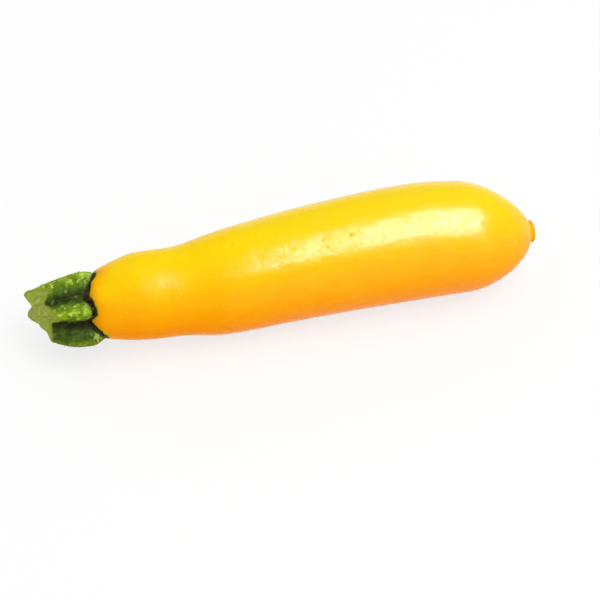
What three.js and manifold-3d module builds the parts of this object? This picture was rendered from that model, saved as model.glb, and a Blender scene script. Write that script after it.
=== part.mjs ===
// A yellow zucchini, picked and lying on its side. Millimetres, +Z up.
// It runs along X: the cut stem is at -X and the blossom end at +X. The
// underside lies straight along the floor, and the fruit bends a little sideways.

import * as THREE from "three";
import { mergeVertices } from "three/addons/utils/BufferGeometryUtils.js";
import Module from "manifold-3d";

const wasm = await Module();
wasm.setup();

// ---- Driving dimensions ---------------------------------------------------

// The fruit, measured at stations along its length: how far along as a share
// of the length, how far the middle bends sideways, and the radius there. The
// body lies on the floor. Where a height is given, the middle is that far up.
const fruitLength = 180;
const stations = [
  { along: 0.0, bend: 0, radius: 12, height: 17.5 },
  { along: 0.1, bend: -0.5, radius: 16.8, height: 19.2 },
  { along: 0.2, bend: -1, radius: 17.5, height: 19 },
  { along: 0.3, bend: -1, radius: 20.2 },
  { along: 0.5, bend: 1, radius: 22 },
  { along: 0.75, bend: 1.5, radius: 23 },
  { along: 1.0, bend: 0, radius: 20.5, height: 19.5 },
];
// Each end closes with a dome: its depth, and how full it is (2 is an ellipse).
const stemEndDome = { depth: 6, fullness: 2.2 };
const blossomEndDome = { depth: 30, fullness: 1.8 };
const restingFlat = 0.4; // how deep the soft skin is pressed flat by its own weight
const fruitRings = 48;
const fruitSectors = 40;

// The stem: six ribs, which spread over the fruit's shoulder and end in a cut.
const stemLength = 20;
const stemRoot = 8; // how far the ribs reach back over the fruit
const stemProfile = [
  // crest radius, distance out from the end of the fruit
  [11.8, -stemRoot],
  [13.8, -5],
  [15.4, -1],
  [15.6, 4],
  [14.8, 11],
  [13.0, 17],
  [11.8, stemLength],
];
// Ribs by their angle round the stem, from -Y up over the top, in degrees. Size is
// a share of the profile's radius, and foot is the share of the root that a rib
// keeps. After each rib comes a groove: its depth as a share of the radius, where
// it is deepest on the way to the next rib, and how narrow it is.
const ribs = [
  { angle: 37, size: 1.0, foot: 0.26, depth: 0.28, deepest: 0.46, narrow: 1.5 },
  { angle: 98, size: 1.02, foot: 0.9, depth: 0.18, deepest: 0.45, narrow: 1.4 },
  { angle: 165, size: 1.0, foot: 1.0, depth: 0.24, deepest: 0.5, narrow: 1.6 },
  { angle: 217, size: 1.0, foot: 1.0, depth: 0.22, deepest: 0.5, narrow: 1.4 },
  { angle: 277, size: 1.0, foot: 1.0, depth: 0.24, deepest: 0.5, narrow: 1.4 },
  { angle: 334, size: 1.03, foot: 0.74, depth: 0.38, deepest: 0.51, narrow: 3.4 },
];
// The knife went through askew: at some angles the rind reaches past the middle of
// the cut, and at others it stops short of it.
const cutLine = [
  { angle: 5, reach: -5.4 },
  { angle: 24, reach: -9.4 },
  { angle: 37, reach: -7.2 },
  { angle: 52, reach: -5.8 },
  { angle: 66, reach: -4.0 },
  { angle: 98, reach: -7.0 },
  { angle: 120, reach: -8.0 },
  { angle: 146, reach: -7.5 },
  { angle: 156, reach: -4.5 },
  { angle: 162, reach: -0.5 },
  { angle: 168, reach: 2.5 },
  { angle: 190, reach: 0.0 },
  { angle: 217, reach: 2.2 },
  { angle: 248, reach: -1.8 },
  { angle: 277, reach: -6.0 },
  { angle: 334, reach: -4.8 },
];
const cutBevel = 0.6;
const stemRings = 14;
const stemSectors = 72;

// The blossom scar: a low dished button of cork on the blossom end.
const scarRadius = 4.6;
const scarHeight = 0.7;
const scarDish = 0.4; // how much lower its face is in the middle
const scarRim = 0.5; // width of the rounded rim
const scarRoot = 3; // how far it starts inside the fruit, before the fruit is cut out
const scarSectors = 24;

const jointGap = 0.3; // clearance between pieces that grow against each other

// The ribs carry on into the fruit's neck as faint shoulders.
const shoulderHeight = 0.012; // share of the radius
const shoulderFade = 0.32; // share of the length over which they fade out

// The blunt stem end is oblique: it reaches further out on its upper front side.
const obliqueSlope = 0.24;
const obliqueFaces = THREE.MathUtils.degToRad(40); // up from -Y
const obliqueFade = 0.2; // share of the length over which it straightens

// ---- Where the skin and the ribs are --------------------------------------

/** The middle of the fruit at a station. */
function stationMiddle({ along, bend, radius, height = radius - restingFlat }) {
  return new THREE.Vector3((along - 0.5) * fruitLength, bend, height);
}

const spine = new THREE.CatmullRomCurve3(stations.map(stationMiddle), false, "catmullrom", 0.5);
const girth = new THREE.CatmullRomCurve3(
  stations.map((station, index) => new THREE.Vector3(index, station.radius, 0)),
  false,
  "catmullrom",
  0.5,
);

/** How far a dome has opened, from 0 at its tip to 1 where it meets the body. */
function domeOpening(distanceFromTip, { depth, fullness }) {
  const share = THREE.MathUtils.clamp(distanceFromTip / depth, 0, 1);
  return (1 - (1 - share) ** fullness) ** (1 / fullness);
}

/** The fruit's middle and radius at a place from 0, the stem end, to 1. */
function fruitSection(place) {
  const middle = spine.getPoint(place);
  const fromStemEnd = middle.x + fruitLength / 2;
  const fromBlossomEnd = fruitLength / 2 - middle.x;
  const radius =
    girth.getPoint(place).y *
    domeOpening(fromStemEnd, stemEndDome) *
    domeOpening(fromBlossomEnd, blossomEndDome);
  return { middle, radius };
}

/** Angle round the axis, in radians from -Y up over the top. */
function angleRound(y, z) {
  return Math.atan2(z, -y);
}

/** The entries of a table on both sides of an angle, and how far it is between them. */
function placeBetween(table, angle) {
  const full = 360;
  const fromFirst = THREE.MathUtils.radToDeg(angle) - table[0].angle;
  const turned = THREE.MathUtils.euclideanModulo(fromFirst, full);
  const starts = table.map((entry) => entry.angle - table[0].angle);
  const index = starts.findLastIndex((start) => start <= turned);
  const width = (starts[index + 1] ?? full) - starts[index];
  const share = (turned - starts[index]) / width;
  return { here: table[index], next: table[(index + 1) % table.length], share };
}

/** A value that eases from one entry of a table to the next. */
function eased({ here, next, share }, key) {
  return THREE.MathUtils.lerp(here[key], next[key], THREE.MathUtils.smoothstep(share, 0, 1));
}

/** 1 at the stem end, falling smoothly to 0 at a share of the fruit's length. */
function fadeFromStemEnd(x, shareOfLength) {
  return Math.max(0, 1 - (x / fruitLength + 0.5) / shareOfLength) ** 2;
}

// ---- Solids ---------------------------------------------------------------

/** Keep only the positions, join shared vertices and drop collapsed triangles. */
function closeUp(geometry) {
  geometry.deleteAttribute("normal");
  geometry.deleteAttribute("uv");
  const merged = mergeVertices(geometry, 1e-4);
  const corners = merged.index.array;
  const kept = [];
  for (let i = 0; i < corners.length; i += 3) {
    const [a, b, c] = corners.slice(i, i + 3);
    if (a !== b && b !== c && c !== a) kept.push(a, b, c);
  }
  merged.setIndex(kept);
  return merged;
}

/** Move every vertex of a geometry by a function of its position. */
function reshape(geometry, move) {
  const position = geometry.attributes.position;
  const point = new THREE.Vector3();
  for (let i = 0; i < position.count; i += 1) {
    point.fromBufferAttribute(position, i);
    move(point, i);
    position.setXYZ(i, point.x, point.y, point.z);
  }
  return geometry;
}

/** A solid of revolution round +X, from [radius, x] points that end on the axis. */
function turnedAlongX(profile, sectors) {
  const points = profile.map(([radius, x]) => new THREE.Vector2(radius, x));
  const lathe = new THREE.LatheGeometry(points, sectors);
  lathe.rotateZ(-Math.PI / 2);
  return closeUp(lathe);
}

/** Push every vertex out along its normal. */
function grown(geometry, distance) {
  geometry.computeVertexNormals();
  const normal = new THREE.Vector3();
  reshape(geometry, (point, i) => {
    normal.fromBufferAttribute(geometry.attributes.normal, i);
    point.addScaledVector(normal, distance);
  });
  geometry.deleteAttribute("normal");
  return geometry;
}

function toManifold(geometry) {
  const vertProperties = new Float32Array(geometry.attributes.position.array);
  const triVerts = new Uint32Array(geometry.index.array);
  return new wasm.Manifold(new wasm.Mesh({ numProp: 3, vertProperties, triVerts }));
}

/** What is left of a solid once another has been cut out of it. */
function cutBy(geometry, cutter) {
  const mesh = toManifold(geometry).subtract(toManifold(cutter)).getMesh();
  const result = new THREE.BufferGeometry();
  result.setAttribute("position", new THREE.BufferAttribute(mesh.vertProperties, 3));
  result.setIndex(new THREE.BufferAttribute(mesh.triVerts, 1));
  return result;
}

// ---- The pieces -----------------------------------------------------------

/** The fruit: a turned body, set along its spine, with its underside pressed flat. */
function fruitGeometry() {
  const sections = [];
  for (let ring = 0; ring <= fruitRings; ring += 1) {
    const place = (1 - Math.cos((Math.PI * ring) / fruitRings)) / 2; // closer rings at the ends
    sections.push(fruitSection(place));
  }
  const profile = sections.map(({ middle, radius }, ring) => {
    const atTip = ring === 0 || ring === fruitRings;
    return [atTip ? 0 : radius, middle.x];
  });
  const body = turnedAlongX(profile, fruitSectors);
  return reshape(body, (point) => {
    const { middle } = sections.reduce((nearest, section) =>
      Math.abs(section.middle.x - point.x) < Math.abs(nearest.middle.x - point.x) ? section : nearest,
    );
    const { share } = placeBetween(ribs, angleRound(point.y, point.z));
    const crest = Math.cos(2 * Math.PI * share); // 1 on a rib, -1 in a groove
    const shoulder = shoulderHeight * crest * fadeFromStemEnd(point.x, shoulderFade);
    const towardsFront = -point.y * Math.cos(obliqueFaces) + point.z * Math.sin(obliqueFaces);
    point.x -= obliqueSlope * fadeFromStemEnd(point.x, obliqueFade) * towardsFront;
    point.y = point.y * (1 + shoulder) + middle.y;
    point.z = Math.max(0, point.z * (1 + shoulder) + middle.z);
  });
}

/** The stem: a turned profile pulled in between its ribs, with an uneven cut. */
function stemGeometry() {
  const points = stemProfile.map(([radius, out]) => new THREE.Vector2(radius, out));
  const curve = new THREE.SplineCurve(points);
  const wall = curve.getPoints(stemRings).map((point) => [point.x, -point.y]);
  const [lastRadius] = wall.at(-1);
  const bevel = [lastRadius - cutBevel, -stemLength - cutBevel];
  const profile = [[0, stemRoot], ...wall, bevel, [0, bevel[1]]].reverse();
  const stem = turnedAlongX(profile, stemSectors);
  return reshape(stem, (point) => {
    const angle = angleRound(point.y, point.z);
    const place = placeBetween(ribs, angle);
    const { depth, deepest, narrow } = place.here;
    const bent = place.share ** (Math.log(0.5) / Math.log(deepest)); // half at the deepest place
    const groove = depth * Math.sin(Math.PI * bent) ** narrow;
    const size = eased(place, "size") * (1 - groove);
    const fromAxis = Math.min(1, Math.hypot(point.y, point.z) / lastRadius);
    const outAlong = THREE.MathUtils.clamp(-point.x / stemLength, 0, 1);
    if (point.x > 0) point.x *= eased(place, "foot");
    point.x -= eased(placeBetween(cutLine, angle), "reach") * fromAxis * outAlong;
    point.y *= size;
    point.z *= size;
  });
}

/** The blossom scar: a low button with a rounded rim and a dished face. */
function scarGeometry() {
  const rimCorner = scarRim * (1 - Math.SQRT1_2);
  const profile = [
    [0, -scarRoot],
    [scarRadius, -scarRoot],
    [scarRadius, scarHeight - scarRim],
    [scarRadius - rimCorner, scarHeight - rimCorner],
    [scarRadius - scarRim, scarHeight],
    [scarRadius / 2, scarHeight - scarDish * 0.75],
    [0, scarHeight - scarDish],
  ];
  return turnedAlongX(profile, scarSectors);
}

function namedMesh(name, geometry, color, roughness) {
  const material = new THREE.MeshStandardMaterial({ color, roughness, metalness: 0 });
  const mesh = new THREE.Mesh(geometry, material);
  mesh.name = name;
  return mesh;
}

function buildZucchini() {
  const fruit = fruitGeometry();
  const clearance = grown(fruit.clone(), jointGap);

  const stem = stemGeometry();
  stem.translate(...spine.getPoint(0).toArray());

  const scar = scarGeometry();
  scar.translate(...spine.getPoint(1).toArray());

  const zucchini = new THREE.Group();
  zucchini.add(
    namedMesh("fruit", fruit, "#fbcf10", 0.35),
    namedMesh("stem", cutBy(stem, clearance), "#4d7426", 0.6),
    namedMesh("blossom_scar", cutBy(scar, clearance), "#c58a3c", 0.75),
  );

  // The origin is on the floor, under the middle of the whole object.
  const box = new THREE.Box3().setFromObject(zucchini);
  const middle = box.getCenter(new THREE.Vector3());
  zucchini.position.set(-middle.x, -middle.y, -box.min.z);
  return zucchini;
}

export default buildZucchini();
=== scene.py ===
# %% [markdown]
# # A yellow zucchini, picked and lying on its side
#
# A zucchini is a simple shape that is hard to fake. The skin is one smooth, waxy
# surface, so the eye sees every dent in its outline and every kink in a highlight.
# The stem is the opposite: small, ribbed, rough and nearly black in its folds.
#
# This lesson builds the stem and the fruit first, from a few sizes and rules. Then
# come the small things that make them look grown: pores, prickles and a dried
# blossom scar. The finishes follow, and last the light and the camera.
# All lengths are in metres. The fruit runs along X, with its cut stem at -X.

# %% Load the measured model
import math

import bmesh
import bpy
from mathutils import Matrix, Quaternion, Vector, noise


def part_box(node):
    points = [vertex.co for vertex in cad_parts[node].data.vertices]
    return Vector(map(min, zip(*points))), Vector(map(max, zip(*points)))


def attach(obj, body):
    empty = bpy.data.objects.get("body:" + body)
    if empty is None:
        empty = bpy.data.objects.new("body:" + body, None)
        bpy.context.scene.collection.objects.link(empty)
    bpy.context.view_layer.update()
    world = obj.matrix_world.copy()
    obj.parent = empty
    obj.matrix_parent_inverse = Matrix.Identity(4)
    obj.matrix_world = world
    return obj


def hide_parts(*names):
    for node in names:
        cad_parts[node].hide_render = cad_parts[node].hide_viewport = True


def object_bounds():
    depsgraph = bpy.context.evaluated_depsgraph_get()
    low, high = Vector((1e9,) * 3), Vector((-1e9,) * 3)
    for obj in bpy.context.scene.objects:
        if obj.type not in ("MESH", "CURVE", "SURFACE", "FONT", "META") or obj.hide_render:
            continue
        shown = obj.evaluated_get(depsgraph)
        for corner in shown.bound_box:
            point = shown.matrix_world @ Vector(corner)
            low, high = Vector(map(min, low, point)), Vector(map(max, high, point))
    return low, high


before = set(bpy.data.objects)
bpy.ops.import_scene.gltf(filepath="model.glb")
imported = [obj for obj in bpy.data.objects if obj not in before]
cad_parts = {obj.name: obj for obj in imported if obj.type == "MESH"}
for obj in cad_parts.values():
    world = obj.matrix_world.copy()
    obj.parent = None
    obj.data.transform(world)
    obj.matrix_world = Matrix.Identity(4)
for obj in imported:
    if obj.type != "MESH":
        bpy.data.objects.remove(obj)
solid_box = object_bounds()
mm = 0.001

fruit_low, fruit_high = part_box("fruit")
stem_low, stem_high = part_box("stem")
scar_low, scar_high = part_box("blossom_scar")
print("the measured pieces are", sorted(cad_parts))
print("fruit from", fruit_low, "to", fruit_high)
print("stem from", stem_low, "to", stem_high)

# %% [markdown]
# ## The few sizes that everything follows
#
# The measured model gives three boxes, and a box has no curve in it. So the curve
# is kept here as seven stations along the fruit: how far along it is, how far the
# middle bends sideways, the radius, and the height of the middle. Most of the fruit
# lies on the table, and there the height is just the radius. Seven stations are
# enough, because a smooth curve is drawn through them later.
#
# The scar sits exactly on the blossom tip, so the middle of its box is the one
# point that ties the stations to the measured model.

# %% Stations along the fruit
blossom_tip = Vector(
    (fruit_high.x, (scar_low.y + scar_high.y) / 2, (scar_low.z + scar_high.z) / 2)
)
fruit_length = 180 * mm
stem_tip_x = blossom_tip.x - fruit_length
resting_flat = 0.4 * mm

stations = [
    # The share of the length, then in mm the sideways bend, the radius, and the
    # height of the middle, which is None where the fruit lies on the table.
    (0.00, 0.0, 12.0, 17.5),
    (0.10, -0.5, 16.8, 19.2),
    (0.20, -1.0, 17.5, 19.0),
    (0.30, -1.0, 20.2, None),
    (0.50, 1.0, 22.0, None),
    (0.75, 1.5, 23.0, None),
    (1.00, 0.0, 20.5, 19.5),
]


def station_point(along, bend, radius, height):
    """The middle of the fruit at one station."""
    z = radius * mm - resting_flat if height is None else height * mm
    return Vector((stem_tip_x + along * fruit_length, blossom_tip.y + bend * mm, z))


stem_tip = station_point(*stations[0])
print("the fruit's middle runs from", stem_tip, "to", station_point(*stations[-1]))

# %% [markdown]
# ## Short words for node trees
#
# Geometry Nodes and materials are both node trees, and adding a node by hand takes
# three or four lines each time. The small class below wraps that up: one call adds
# a node, fills its sockets with numbers or with other nodes' results, and returns
# it. Words such as `plus` and `times` then read almost like a formula.

# %% A helper that builds node trees
class Nodes:
    """Adds nodes to one tree. A socket's value can be a number or another node's output."""

    def __init__(self, tree):
        self.tree = tree

    def add(self, kind, sockets=None, **settings):
        node = self.tree.nodes.new(kind)
        for name, value in settings.items():
            setattr(node, name, value)
        for name, value in (sockets or {}).items():
            self.fill(self.socket(node.inputs, name), value)
        return node

    def socket(self, group, name):
        """A socket by its number or by its name, leaving out those that are switched off."""
        if isinstance(name, int):
            return group[name]
        return next(s for s in group if s.name == name and s.enabled)

    def fill(self, socket, value):
        if isinstance(value, bpy.types.NodeSocket):
            self.tree.links.new(value, socket)
        else:
            socket.default_value = value

    def get(self, kind, output=0, sockets=None, **settings):
        """Add a node and return one of its results."""
        return self.socket(self.add(kind, sockets, **settings).outputs, output)

    def math(self, operation, *values):
        return self.get("ShaderNodeMath", 0, dict(enumerate(values)), operation=operation)

    def in_turn(self, operation, values):
        result = values[0]
        for value in values[1:]:
            result = self.math(operation, result, value)
        return result

    def plus(self, *values):
        return self.in_turn("ADD", values)

    def times(self, *values):
        return self.in_turn("MULTIPLY", values)

    def minus(self, first, second):
        return self.math("SUBTRACT", first, second)

    def over(self, first, second):
        return self.math("DIVIDE", first, second)

    def radial(self, y, z):
        """How far a point is from the X axis."""
        return self.math("SQRT", self.plus(self.math("POWER", y, 2), self.math("POWER", z, 2)))

    def vector(self, operation, *values, output=0):
        sockets = dict(enumerate(values))
        return self.get("ShaderNodeVectorMath", output, sockets, operation=operation)

    def scaled(self, vector, factor):
        sockets = {"Vector": vector, "Scale": factor}
        return self.get("ShaderNodeVectorMath", 0, sockets, operation="SCALE")

    def drawn_out(self, place, share):
        """Coordinates that draw a pattern out along X: a share of 0.5 makes it twice as long."""
        return self.vector("MULTIPLY", place, (share, 1.0, 1.0))

    def xyz(self, x, y, z):
        return self.get("ShaderNodeCombineXYZ", 0, {0: x, 1: y, 2: z})

    def split(self, vector):
        """The x, y and z of a vector."""
        return self.add("ShaderNodeSeparateXYZ", {0: vector}).outputs[:]

    def ramp(self, value, low, high, to_low=0.0, to_high=1.0, smooth=True):
        """Carry a value from one range over to another, and stop at its ends."""
        kind = "SMOOTHSTEP" if smooth else "LINEAR"
        sockets = {0: value, 1: low, 2: high, 3: to_low, 4: to_high}
        return self.get("ShaderNodeMapRange", 0, sockets, interpolation_type=kind)

    def mottle(self, place, size, detail=3.0):
        """Soft random patches about `size` metres across, from 0 to 1."""
        sockets = {"Vector": place, "Scale": 1 / size, "Detail": detail}
        return self.get("ShaderNodeTexNoise", 0, sockets)

    def swing(self, patches, amount):
        """Random patches as a push to both sides of zero."""
        return self.times(self.minus(patches, 0.5), amount)


# %% [markdown]
# ## Running a geometry tree
#
# Each tree here follows a rule: a function that takes the tree's nodes and inputs,
# and returns the geometry. `grow` builds the tree of a rule and runs it. The inputs
# get plain names, so that a size can be read where it is used, and are set by their
# identifiers, which stay right even if two were ever called the same. Every tree
# ends by making its instances real and putting the finish on. What it makes is kept
# as a plain mesh, so there is no modifier left to run.

# %% Helpers that build a geometry tree and run it
SOCKETS = {
    int: "NodeSocketInt",
    float: "NodeSocketFloat",
    Vector: "NodeSocketVector",
    bpy.types.Object: "NodeSocketObject",
    bpy.types.Material: "NodeSocketMaterial",
}


def add_object(name, data):
    """A new object in the scene, for a mesh, a curve, a lamp or a camera."""
    thing = bpy.data.objects.new(name, data)
    bpy.context.scene.collection.objects.link(thing)
    return thing


def build_tree(name, rule, values, takes_mesh):
    """A geometry tree that follows a rule, with one named input for each value."""
    tree = bpy.data.node_groups.new(name, "GeometryNodeTree")
    tree.interface.new_socket("Geometry", in_out="OUTPUT", socket_type="NodeSocketGeometry")
    if takes_mesh:
        tree.interface.new_socket("Geometry", in_out="INPUT", socket_type="NodeSocketGeometry")
    for label, value in values.items():
        kind = next(socket for kind, socket in SOCKETS.items() if isinstance(value, kind))
        tree.interface.new_socket(label, in_out="INPUT", socket_type=kind)
    nodes = Nodes(tree)
    outputs = nodes.add("NodeGroupInput").outputs
    given = {socket.name: socket for socket in outputs if socket.name}
    real = nodes.get("GeometryNodeRealizeInstances", 0, {"Geometry": rule(nodes, given)})
    sockets = {"Geometry": real, "Material": given["Finish"]}
    nodes.add("NodeGroupOutput", {"Geometry": nodes.get("GeometryNodeSetMaterial", 0, sockets)})
    return tree


def grow(name, rule, finish, start=None, **values):
    """Run the tree of a rule, and keep what it makes as a plain mesh object."""
    values["Finish"] = finish
    mesh = start.data.copy() if start else bpy.data.meshes.new(name)
    carrier = add_object(name + "_carrier", mesh)
    modifier = carrier.modifiers.new(name, "NODES")
    modifier.node_group = build_tree(name, rule, values, takes_mesh=bool(start))
    for item in modifier.node_group.interface.items_tree:
        if item.in_out == "INPUT" and item.name in values:
            modifier[item.identifier] = values[item.name]
    carrier.update_tag()
    graph = bpy.context.evaluated_depsgraph_get()
    graph.update()
    made = bpy.data.meshes.new_from_object(carrier.evaluated_get(graph), depsgraph=graph)
    bpy.data.objects.remove(carrier)
    made.name = name
    made.materials.clear()
    made.materials.append(finish)
    made.polygons.foreach_set("material_index", [0] * len(made.polygons))
    triangles = sum(len(p.vertices) - 2 for p in made.polygons)
    print(f"{name}: {len(made.vertices)} points, {triangles} triangles")
    return add_object(name, made)


# %% [markdown]
# ## The stem's two guides
#
# A zucchini's stem is a tapering stalk with about six ribs. They spread over the
# fruit's shoulder like roots, and the far end is a knife cut. One could sculpt that,
# or extrude a star shape and taper it. Here it comes from two guide curves, because
# the same rule then also gives the cut face, and each size stays a number:
#
# - the wall: how wide the ribs are at each distance out from the fruit, round the
#   edge of the cut and in to its middle;
# - the outline: the star that one sees from the end. No two ribs are alike, so each
#   has its own angle, and its own groove after it, which is broad or narrow. The
#   outline's third coordinate is the reach: the knife went through askew, and some
#   ribs end past the others. Its radius is the rib's foot: how much of the root it
#   keeps where it spreads over the fruit.

# %% The stem's sizes
stem_length = 20 * mm
rim_radius = 11.8 * mm
wall_points = [
    # rib radius, distance out from the tip of the fruit
    (0.0, -4.0),
    (7.0, -6.6),
    (11.8, -8.0),
    (13.8, -5.0),
    (15.4, -1.0),
    (15.6, 4.0),
    (14.8, 11.0),
    (13.0, 17.0),
    (12.1, 19.3),
    (11.8, 20.1),
    (11.2, 20.5),
    (9.5, 20.3),
    (5.5, 19.8),
    (0.0, 19.6),
]
ribs = [
    # Angle from the front up over the top, size, foot, then the groove after the rib:
    # its depth, where it is deepest, and how narrow it is.
    (37, 1.00, 0.26, 0.28, 0.46, 1.5),
    (98, 1.02, 0.90, 0.18, 0.45, 1.4),
    (165, 1.00, 1.00, 0.24, 0.50, 1.6),
    (217, 1.00, 1.00, 0.22, 0.50, 1.4),
    (277, 1.00, 1.00, 0.24, 0.50, 1.4),
    (334, 1.03, 0.74, 0.38, 0.51, 3.4),
]
cut_line = [
    # angle, and how far past the middle of the cut the rind reaches there, in mm
    (5, -5.4),
    (24, -9.4),
    (37, -7.2),
    (52, -5.8),
    (66, -4.0),
    (98, -7.0),
    (120, -8.0),
    (146, -7.5),
    (156, -4.5),
    (162, -0.5),
    (168, 2.5),
    (190, 0.0),
    (217, 2.2),
    (248, -1.8),
    (277, -6.0),
    (334, -4.8),
]
print("the stem has", len(ribs), "ribs")


# %% The outline at each degree
def between(stops, angle):
    """The stops on both sides of an angle, and the share of the way from one to the other."""
    turned = (angle - stops[0][0]) % 360
    starts = [stop[0] - stops[0][0] for stop in stops] + [360]
    index = max(i for i, start in enumerate(starts[:-1]) if start <= turned)
    share = (turned - starts[index]) / (starts[index + 1] - starts[index])
    return stops[index], stops[(index + 1) % len(stops)], share


def eased(first, second, share):
    blend = share * share * (3 - 2 * share)
    return first * (1 - blend) + second * blend


def rib_at(angle):
    """The rib outline at an angle: its size, the reach of the cut, and the foot."""
    this, following, share = between(ribs, angle)
    _, _, _, depth, deepest, narrow = this
    groove = math.sin(math.pi * share ** (math.log(0.5) / math.log(deepest))) ** narrow
    size = eased(this[1], following[1], share) * (1 - depth * groove)
    cut, next_cut, cut_share = between(cut_line, angle)
    return size, eased(cut[1], next_cut[1], cut_share) * mm, eased(this[2], following[2], share)


def guide_curve(name, points, radii=None, closed=False):
    """A curve that a tree reads. It is a drawing aid and is deleted at the end."""
    curve = bpy.data.curves.new(name, "CURVE")
    curve.dimensions = "3D"
    spline = curve.splines.new("POLY")
    spline.points.add(len(points) - 1)
    for index, point in enumerate(points):
        spline.points[index].co = (*point, 1)
        spline.points[index].radius = radii[index] if radii else 1
    spline.use_cyclic_u = closed
    return add_object(name, curve)


star_points, feet = [], []
for angle in range(360):
    size, reach, foot = rib_at(angle)
    radians = math.radians(angle)
    star_points.append(Vector((math.cos(radians) * size, math.sin(radians) * size, reach)))
    feet.append(foot)

wall_line = [Vector((out, radius, 0)) * mm for radius, out in wall_points]
wall_guide = guide_curve("stem_wall", wall_line)
star_guide = guide_curve("stem_star", star_points, feet, closed=True)
widths = [point.xy.length for point in star_points]
print(f"the outline goes from {min(widths):.2f} to {max(widths):.2f} of the rib radius")

# %% [markdown]
# ## Wrapping a grid round its guides
#
# The stem and the fruit are both one closed skin, and both start from a flat grid.
# Each point of the grid reads a guide with its row, another with its column, and
# moves to the place that they give: that is how a flat sheet wraps into a stalk.
# The two long edges then meet and are merged, and so are the points at both ends.
# A lathe would be quicker, but it can't make ribs that differ.

# %% Helpers for wrapping a grid
def along_curve(nodes, guide, factor, smooth):
    """Read a guide curve at a share of its length. Returns its position and its radius."""
    curve = nodes.get("GeometryNodeObjectInfo", "Geometry", {"Object": guide})
    if smooth:
        sockets = {"Curve": curve}
        curve = nodes.get("GeometryNodeCurveSplineType", 0, sockets, spline_type="CATMULL_ROM")
        sockets = {"Geometry": curve, "Resolution": 48}
        curve = nodes.get("GeometryNodeSetSplineResolution", 0, sockets)
    radius = nodes.get("GeometryNodeInputRadius")
    sockets = {"Curves": curve, "Value": radius, "Factor": factor}
    sample = nodes.add("GeometryNodeSampleCurve", sockets, mode="FACTOR", data_type="FLOAT")
    return sample.outputs["Position"], nodes.socket(sample.outputs, "Value")


def wrapped_grid(nodes, given):
    """A flat grid of one by one, and its column and row shares from 0 to 1."""
    sockets = {
        "Size X": 1.0,
        "Size Y": 1.0,
        "Vertices X": nodes.plus(given["Sectors"], 1),
        "Vertices Y": nodes.plus(given["Rings"], 1),
    }
    grid = nodes.get("GeometryNodeMeshGrid", "Mesh", sockets)
    x, y, _ = nodes.split(nodes.get("GeometryNodeInputPosition"))
    return grid, nodes.plus(x, 0.5), nodes.plus(y, 0.5)


def store(nodes, geometry, name, value):
    """Keep a number on every point, for the material to read."""
    kind = {"data_type": "FLOAT", "domain": "POINT"}
    sockets = {"Geometry": geometry, "Name": name, "Value": value}
    return nodes.get("GeometryNodeStoreNamedAttribute", 0, sockets, **kind)


def read(nodes, name):
    """A number that was stored on the points."""
    sockets = {"Name": name}
    return nodes.get("GeometryNodeInputNamedAttribute", "Attribute", sockets, data_type="FLOAT")


def wrap(nodes, geometry, place):
    """Move a grid's points to their places, merge the seam and the ends, and shade smoothly."""
    weld = 0.005 * mm
    geometry = nodes.get("GeometryNodeSetPosition", 0, {"Geometry": geometry, "Position": place})
    merged = nodes.get("GeometryNodeMergeByDistance", 0, {"Geometry": geometry, "Distance": weld})
    return nodes.get("GeometryNodeSetShadeSmooth", 0, {"Geometry": merged, "Shade Smooth": True})


def lift_along_normals(nodes, geometry, lift):
    offset = nodes.scaled(nodes.get("GeometryNodeInputNormal"), lift)
    return nodes.get("GeometryNodeSetPosition", 0, {"Geometry": geometry, "Offset": offset})


# %% [markdown]
# ## The stem's rule
#
# The wall guide gives how far out a point is and its radius, and the star guide
# shapes that radius into ribs. The finish will need to know where on the stem it
# is, so a few numbers are stored on each point: how far it stands out between
# groove and crest, its rib's foot, whether it is on the cut, how far out it is, and
# how far from the middle. The rind also gets a relief of its own: fine fibres along
# the ribs, and low warts in patches. Both are real height, not bump, because they
# break the stem's outline.

# %% The stem's rule
def rind_relief(nodes, given, geometry):
    """Fibres and warts. The fibres run along X, so their pattern is stretched that way."""
    fibre_width = 1.1 * mm
    wart_spacing = 2.4 * mm
    patch_size = 4.0 * mm
    position = nodes.get("GeometryNodeInputPosition")
    stretched = nodes.drawn_out(position, 0.12)
    fibres = nodes.swing(nodes.mottle(stretched, fibre_width), given["Fibres"])
    cells = {"Vector": position, "Scale": 1 / wart_spacing, "Randomness": 1.0}
    wart = nodes.ramp(nodes.get("ShaderNodeTexVoronoi", "Distance", cells, feature="F1"), 0.5, 0.1)
    patch = nodes.ramp(nodes.mottle(position, patch_size, 1.0), 0.44, 0.6)
    wart = nodes.times(wart, patch, nodes.minus(1.0, read(nodes, "cut")))
    geometry = store(nodes, geometry, "wart", wart)
    lift = nodes.plus(fibres, nodes.times(wart, given["Warts"]))
    return lift_along_normals(nodes, geometry, lift)


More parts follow.
